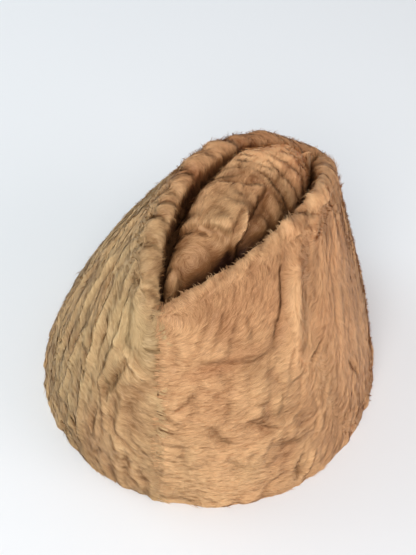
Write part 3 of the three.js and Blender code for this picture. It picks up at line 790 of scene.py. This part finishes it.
GROOVE_NARROWS = {"from": -48.0, "to": 0.0}
GROOVE_DROP = 3.0
RIDGE_FULLNESS = {"narrow": 2.5, "left_front": 3.4, "left_back": 5.5, "right": 2.5}
SHOULDER_SQUARES = {"from": -5.0, "to": 20.0}
RIDGE_SPAN = {"from": 8.0, "to": 17.0}
GROOVE_SHARE = {"from": 0.08, "to": 0.3}


def ridge_drop(y):
    fine = np.linspace(RIDGE_FRONT, RIDGE_BACK, 233)
    line = np.interp(fine, [r["y"] for r in RIDGE_LINE], [r["drop"] for r in RIDGE_LINE])
    window = np.hanning(13) / np.hanning(13).sum()
    soft = np.convolve(np.pad(line, 6, mode="edge"), window, mode="valid")
    return np.interp(y, fine, soft)


def ridge_side(y):
    share = (y - RIDGE_FRONT) / (RIDGE_BACK - RIDGE_FRONT)
    return mixed(RIDGE_SIDE["front"], RIDGE_SIDE["back"], share)


def crown_border(turn):
    return wall_skin(turn, np.full(turn.shape, 3.0)) - UPWARD * BORDER_GAP


TURNS = np.linspace(0, math.pi, 721)
BORDER_YS = np.maximum.accumulate(crown_border(TURNS)[:, 1])
SMALL_STEP = 0.004
# At the tips, where the ridge runs out, the pelt is no thicker than this share of its half width.
THINNED = 0.4


def passed(value, reach):
    """Share of a reach that a value has passed, eased at both ends."""
    return eased((value - reach["from"]) / (reach["to"] - reach["from"]))


def crown_skin(turn, course, inner=False):
    """Place on the crown. Course 0 is its border, 1 its ridge line."""
    border = crown_border(turn)
    y = np.clip((border[..., 1] + crown_border(-turn)[..., 1]) / 2, RIDGE_FRONT, RIDGE_BACK)
    beside = edge_height(np.interp(y, BORDER_YS, TURNS))
    ridge = np.stack([ridge_side(y), y, border[..., 2]], -1)
    width = np.linalg.norm(ridge - border, axis=-1)
    inward = unit(ridge - border)
    height = beside - ridge_drop(y) - border[..., 2]
    to_right = (1 + np.sin(turn)) / 2
    narrowed = passed(y, GROOVE_NARROWS)
    right = mixed(GROOVE_RADIUS["right_front"], GROOVE_RADIUS["right_back"], narrowed)
    radius = mixed(GROOVE_RADIUS["left"], right, to_right)
    span = width - 2 * radius
    broad = passed(span, RIDGE_SPAN)
    squared = passed(y, SHOULDER_SQUARES)
    shoulder = mixed(RIDGE_FULLNESS["left_front"], RIDGE_FULLNESS["left_back"], squared)
    wide = mixed(shoulder, RIDGE_FULLNESS["right"], to_right)
    power = 2 / mixed(RIDGE_FULLNESS["narrow"], wide, broad)

    def flat(q):
        start, end = GROOVE_SHARE["from"], GROOVE_SHARE["to"]
        fall = np.clip(q / start, 0, 1)
        bend = math.pi * np.clip((q - start) / (end - start), 0, 1)
        climb = (math.pi / 2) * np.clip((q - end) / (1 - end), 0, 1)
        low_x = radius * (1 - np.cos(bend))
        low_z = -GROOVE_DROP * fall - radius * np.sin(bend)
        high_x = 2 * radius + span * (1 - np.maximum(np.cos(climb), 0) ** power)
        high_z = (height + GROOVE_DROP) * np.sin(climb) ** power - GROOVE_DROP
        on_ridge = q > end
        return np.where(on_ridge, high_x, low_x), np.where(on_ridge, high_z, low_z)

    across, up = flat(course)
    if inner:
        a0, u0 = flat(np.maximum(course - SMALL_STEP, 0))
        a1, u1 = flat(np.minimum(course + SMALL_STEP, 1))
        way = unit(np.stack([a1 - a0, u1 - u0], -1))
        on_top = course > 0.999
        way = np.where(on_top[..., None], [1.0, 0.0], way)
        pelt = np.where(on_top, CROWN_PELT, np.minimum(CROWN_PELT, THINNED * span))
        across, up = across + pelt * way[..., 1], up - pelt * way[..., 0]
    place = border + inward * across[..., None] + UPWARD * up[..., None]
    if inner:
        fall = UPWARD * (GROOVE_DROP * course / GROOVE_SHARE["from"])[..., None]
        level = border + edge_outward(turn) * CROWN_PELT - fall
        place = np.where((course < GROOVE_SHARE["from"])[..., None], level, place)
    return place


CROWN_FOLDS = [
    # Crest of the first fold, steep in front and slow behind, lit with painted light, and the painted
    # shadow below it.
    dict(start=(-14, -35), end=(4, -28), bow=0.5, steep=1.3, slow=3.5, rise=2.2, light=0.18),
    dict(start=(-14, -38), end=(4, -31), bow=0.5, steep=2.2, slow=1.4, rise=-1.0, light=-0.14),
    # Back edge of the middle lobe and the valley behind it, darkened with painted shade.
    dict(start=(-16, -15), end=(4, 4), bow=1.5, steep=4.0, slow=1.2, rise=1.4, light=0.05),
    dict(start=(-17, -12), end=(4, 7), bow=1.5, steep=1.2, slow=1.8, rise=-1.4, light=-0.16),
    # Near edge of the middle lobe, darkened with painted shadow, with a curled tuft: painted shade at
    # its foot and painted light on its top.
    dict(start=(7, 4), end=(12, -26), bow=1.7, steep=1.8, slow=3.0, rise=-2.2, light=-0.20),
    dict(start=(5.5, -17), end=(7.5, -26), bow=0, steep=1.1, slow=1.1, rise=-1.0, light=-0.18),
    dict(start=(7.7, -17), end=(9.8, -26), bow=0.5, steep=1.3, slow=1.3, rise=2.4, light=0.22),
    # Wrinkles of the rear lobe, darkened with painted shade.
    dict(start=(-19, -2), end=(2, 9), bow=1, steep=1.0, slow=1.4, rise=-0.8, light=-0.10),
    dict(start=(-20, 4), end=(2, 13), bow=1, steep=1.0, slow=1.4, rise=-0.9, light=-0.11),
    dict(start=(-20, 10), end=(2, 18), bow=1, steep=1.0, slow=1.4, rise=-0.9, light=-0.10),
    dict(start=(-20, 16), end=(1, 23), bow=1, steep=1.0, slow=1.4, rise=-0.8, light=-0.09),
    dict(start=(-19, 23), end=(0, 29), bow=1, steep=1.1, slow=1.6, rise=-0.7, light=-0.08),
    # Streaks down the flank behind the middle lobe, darkened with painted shade.
    dict(start=(3, 12), end=(17, 14), bow=0, steep=1.5, slow=2.2, rise=-1.1, light=-0.16),
    dict(start=(2, 21), end=(16, 26), bow=0, steep=1.5, slow=2.2, rise=-1.1, light=-0.16),
    dict(start=(1, 30), end=(14, 38), bow=0, steep=1.5, slow=2.2, rise=-1.0, light=-0.15),
    dict(start=(0, 40), end=(11, 48), bow=0, steep=1.5, slow=2.2, rise=-0.9, light=-0.14),
]
SWIRL = dict(x=-2.0, y=-49.0, reach=15.0)
CROWN_TURNS, CROWN_COURSES = np.linspace(-math.pi, math.pi, 721), np.linspace(0, 1, 141)
CROWN_WAVE_DEPTH = 0.9
FLANK_DEPTH = 1.5
# Lightness of the hair: painted shade in the valleys, painted light added on the ridges, lighter on
# the rear lobe, darker at the nose, and painted shade on the flank, in the grooves and beside the
# nose.
CROWN_LIGHT = dict(
    valley=0.60, ridge=0.18, drift=0.05, rear=0.34, nose=0.09, flank=0.16, groove=0.5, beside=0.5
)


def crown_net():
    turn, course = np.meshgrid(CROWN_TURNS, CROWN_COURSES, indexing="ij")
    skin = crown_skin(turn, course)
    net = net_of(skin)
    # On the ridge line the rows run level across it.
    level = np.stack([-np.sign(turn[:, -1]), 0 * turn[:, -1], 0 * turn[:, -1]], -1)
    net["row_way"][:, -1] = level * 0.05
    net.update(course=course, mirrored=True, facing=1, lively=np.ones(turn.shape))
    x, y = skin[..., 0], skin[..., 1]
    shown = eased((course - 0.28) / 0.2)
    rise, light = fold_value(CROWN_FOLDS, x, y, lambda *place: place)
    fine = wander(x / 2.6, y / 2.6, 42) + 0.6 * wander(x / 1.4, y / 1.4, 43)
    soft = ripple((x + 3 * wander(x / 9, y / 9, 44)) / 9, y / 7, 45)
    flank = eased((x - 3) / 6) * eased((y + 24) / 10)
    height = CROWN_WAVE_DEPTH * (soft - WAVE_LEVEL) + FINE_DEPTH * fine + rise
    height = (height - FLANK_DEPTH * flank) * shown
    tone = CROWN_LIGHT
    shade = tone["valley"] + tone["ridge"] * soft + light
    shade = shade + tone["drift"] * wander(x / 9, y / 9, 46)
    shade = shade + tone["rear"] * eased((y - 5) / 25) - tone["nose"] * eased((-34 - y) / 8)
    # Painted shade: the right flank behind the middle lobe, sunk below the ridge, is darkened in
    # streaks, and both grooves are darkened with their depth.
    shade = shade - tone["flank"] * flank * (1.4 - ripple(y / 6, x / 24, 52))
    below = edge_line(turn)[..., 2] - skin[..., 2]
    shade = shade - tone["groove"] * eased((below - 4) / 11)
    # Painted shade on the right beside the nose, toward the groove.
    shade = shade - tone["beside"] * eased((x - 6) / 3) * eased((-29 - y) / 5)
    cast = 0.66 + 0.2 * wander(x / 14, y / 14, 47) + 0.15 * eased((y - 5) / 30)
    # The hair of the nose turns in a swirl. Further back it is combed forward and to the sides.
    angle = np.radians(-95 + 30 * wander(x / 10, y / 12, 48) + 14 * wander(x / 4, y / 4, 49))
    way = np.stack([np.cos(angle) + 0.02 * (x - ridge_side(y)), np.sin(angle), 0 * x], -1)
    aside, ahead = x - SWIRL["x"], y - SWIRL["y"]
    far = np.hypot(aside, ahead)
    turning = np.stack([-ahead, aside, 0 * x], -1) / (far + 2)[..., None]
    way = mixed(way, turning, np.exp(-((far / SWIRL["reach"]) ** 2))[..., None])
    combed(net, height, shade, cast, 0 * x)
    steep = eased((course - 0.97) / 0.03)[..., None]
    net["normal"] = unit(mixed(np.nan_to_num(net["normal"]), UPWARD, steep))
    net["out"] = unit(mixed(np.nan_to_num(net["out"]), UPWARD, steep))
    net["lay"] = unit(way - net["out"] * dot(way, net["out"])[..., None])
    return net


crown = crown_net()
CROWN_COLUMNS, CROWN_ROWS = 160, 40
MERGED = 0.002 * MM


def crown_piece(name, net, material):
    """Closed crown: a skin under the pile and an inner skin, each merged along its ridge line."""
    bm = bmesh.new()
    for layer in ("shade", "cast"):
        bm.verts.layers.float.new(layer)
    for inner in (False, True):
        net_size = dict(x_segments=CROWN_COLUMNS, y_segments=CROWN_ROWS, size=0.5)
        grid = bmesh.ops.create_grid(bm, **net_size)["verts"]
        flat = np.array([v.co for v in grid])
        turn, course = flat[:, 0] * 2 * math.pi, np.clip(flat[:, 1] + 0.5, 0, 1)
        if inner:
            place = crown_skin(turn, course, inner)
            tones = {key: np.full(len(grid), value) for key, value in BARE_SKIN.items()}
        else:
            column = (flat[:, 0] + 0.5) * (len(CROWN_TURNS) - 1)
            row = course * (len(CROWN_COURSES) - 1)
            place = read(net["pile"], column, row)
            settle = PILE_DEPTH * eased((course - 0.3) / 0.15)
            place = place - read(net["out"], column, row) * settle[:, None]
            tones = {key: read(net[key], column, row) for key in BARE_SKIN}
        for i, (vert, spot) in enumerate(zip(grid, place * MM)):
            vert.co = spot
            for key, values in tones.items():
                vert[bm.verts.layers.float[key]] = values[i]
        bmesh.ops.remove_doubles(bm, verts=grid, dist=MERGED)
    bmesh.ops.bridge_loops(bm, edges=[e for e in bm.edges if e.is_boundary])
    bmesh.ops.recalc_face_normals(bm, faces=bm.faces)
    return piece_from(bm, name, material)


CROWN_HAIR = dict(length=4.2, stray=0.18, lift=0.32, width=0.32, speckle=0.03)
crown_pelt = crown_piece("crown_pelt", crown, hair_finish)
on_crown = (crown["course"] > 0.1) * 1.0
crown_hair = laid_hair("crown_hair", 51, crown, on_crown, 46000, CROWN_HAIR)
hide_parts("crown")
for piece in (crown_pelt, crown_hair):
    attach(piece, "root")

# Floor.
# A wide pale sheet of matt board that the cap is set down on.
FLOOR_HALF_WIDTH = 4.0
FLOOR_COLOUR = (0.86, 0.875, 0.89, 1)
bm = bmesh.new()
bmesh.ops.create_grid(bm, x_segments=1, y_segments=1, size=FLOOR_HALF_WIDTH)
floor_finish, wire, surface = new_material("pale_board")
surface.inputs["Base Color"].default_value = FLOOR_COLOUR
surface.inputs["Roughness"].default_value = 0.9
floor = piece_from(bm, "floor", floor_finish)

# Light.
# Soft daylight all round, a broad lamp above the front, a cool one on the left and a warm one
# on the right.
world = bpy.data.worlds.new("studio")
world.use_nodes = True
sky = next(n for n in world.node_tree.nodes if n.type == "BACKGROUND")
sky.inputs["Color"].default_value = (0.95, 0.97, 1.0, 1)
sky.inputs["Strength"].default_value = 0.5
bpy.context.scene.world = world
LAMPS = [
    dict(name="front_lamp", place=(0.25, -1.2, 1.2), power=17, size=0.9, colour=(1.0, 0.98, 0.96)),
    dict(name="left_lamp", place=(-1.4, -0.3, 1.0), power=8, size=1.2, colour=(0.70, 0.90, 1.0)),
    dict(name="right_lamp", place=(1.4, 0.1, 0.9), power=6, size=1.0, colour=(1.0, 0.86, 0.84)),
]
AIM = np.array([0, 0, 0.06])
for lamp in LAMPS:
    light = bpy.data.lights.new(lamp["name"], "AREA")
    light.energy, light.size, light.color = lamp["power"], lamp["size"], lamp["colour"]
    lamp_object = bpy.data.objects.new(lamp["name"], light)
    bpy.context.scene.collection.objects.link(lamp_object)
    lamp_object.location = lamp["place"]
    aim = AIM - np.array(lamp["place"])
    yaw = math.atan2(aim[0], -aim[1])
    pitch = math.atan2(math.hypot(aim[0], aim[1]), -aim[2])
    lamp_object.rotation_euler = (pitch, 0, math.pi + yaw)
bpy.context.scene.view_settings.view_transform = "Standard"

# Camera.
# High in front of the right side, tipped as in the photograph.
from mathutils import Matrix, Vector

AZIMUTH, ELEVATION, ROLL = (math.radians(v) for v in (22.659, 46.826, 11.33))
DISTANCE = 0.5943
TARGET = Vector((-0.016289, 0.009639, 0.045868))
FOCAL_PIXELS, LONG_SIDE, SENSOR = 1088.92, 555, 36.0
level = Vector((math.cos(AZIMUTH), math.sin(AZIMUTH), 0))
toward = Vector((math.sin(AZIMUTH), -math.cos(AZIMUTH), 0))
back = toward * math.cos(ELEVATION) + Vector((0, 0, math.sin(ELEVATION)))
upright = back.cross(level)
across = level * math.cos(ROLL) + upright * math.sin(ROLL)
above = upright * math.cos(ROLL) - level * math.sin(ROLL)
lens = bpy.data.cameras.new("camera")
lens.sensor_width = SENSOR
lens.lens = FOCAL_PIXELS / LONG_SIDE * SENSOR
camera = bpy.data.objects.new("camera", lens)
bpy.context.scene.collection.objects.link(camera)
turned = Matrix((across, above, back)).transposed().to_4x4()
camera.matrix_world = Matrix.Translation(TARGET + back * DISTANCE) @ turned
bpy.context.scene.camera = camera

bpy.context.view_layer.update()
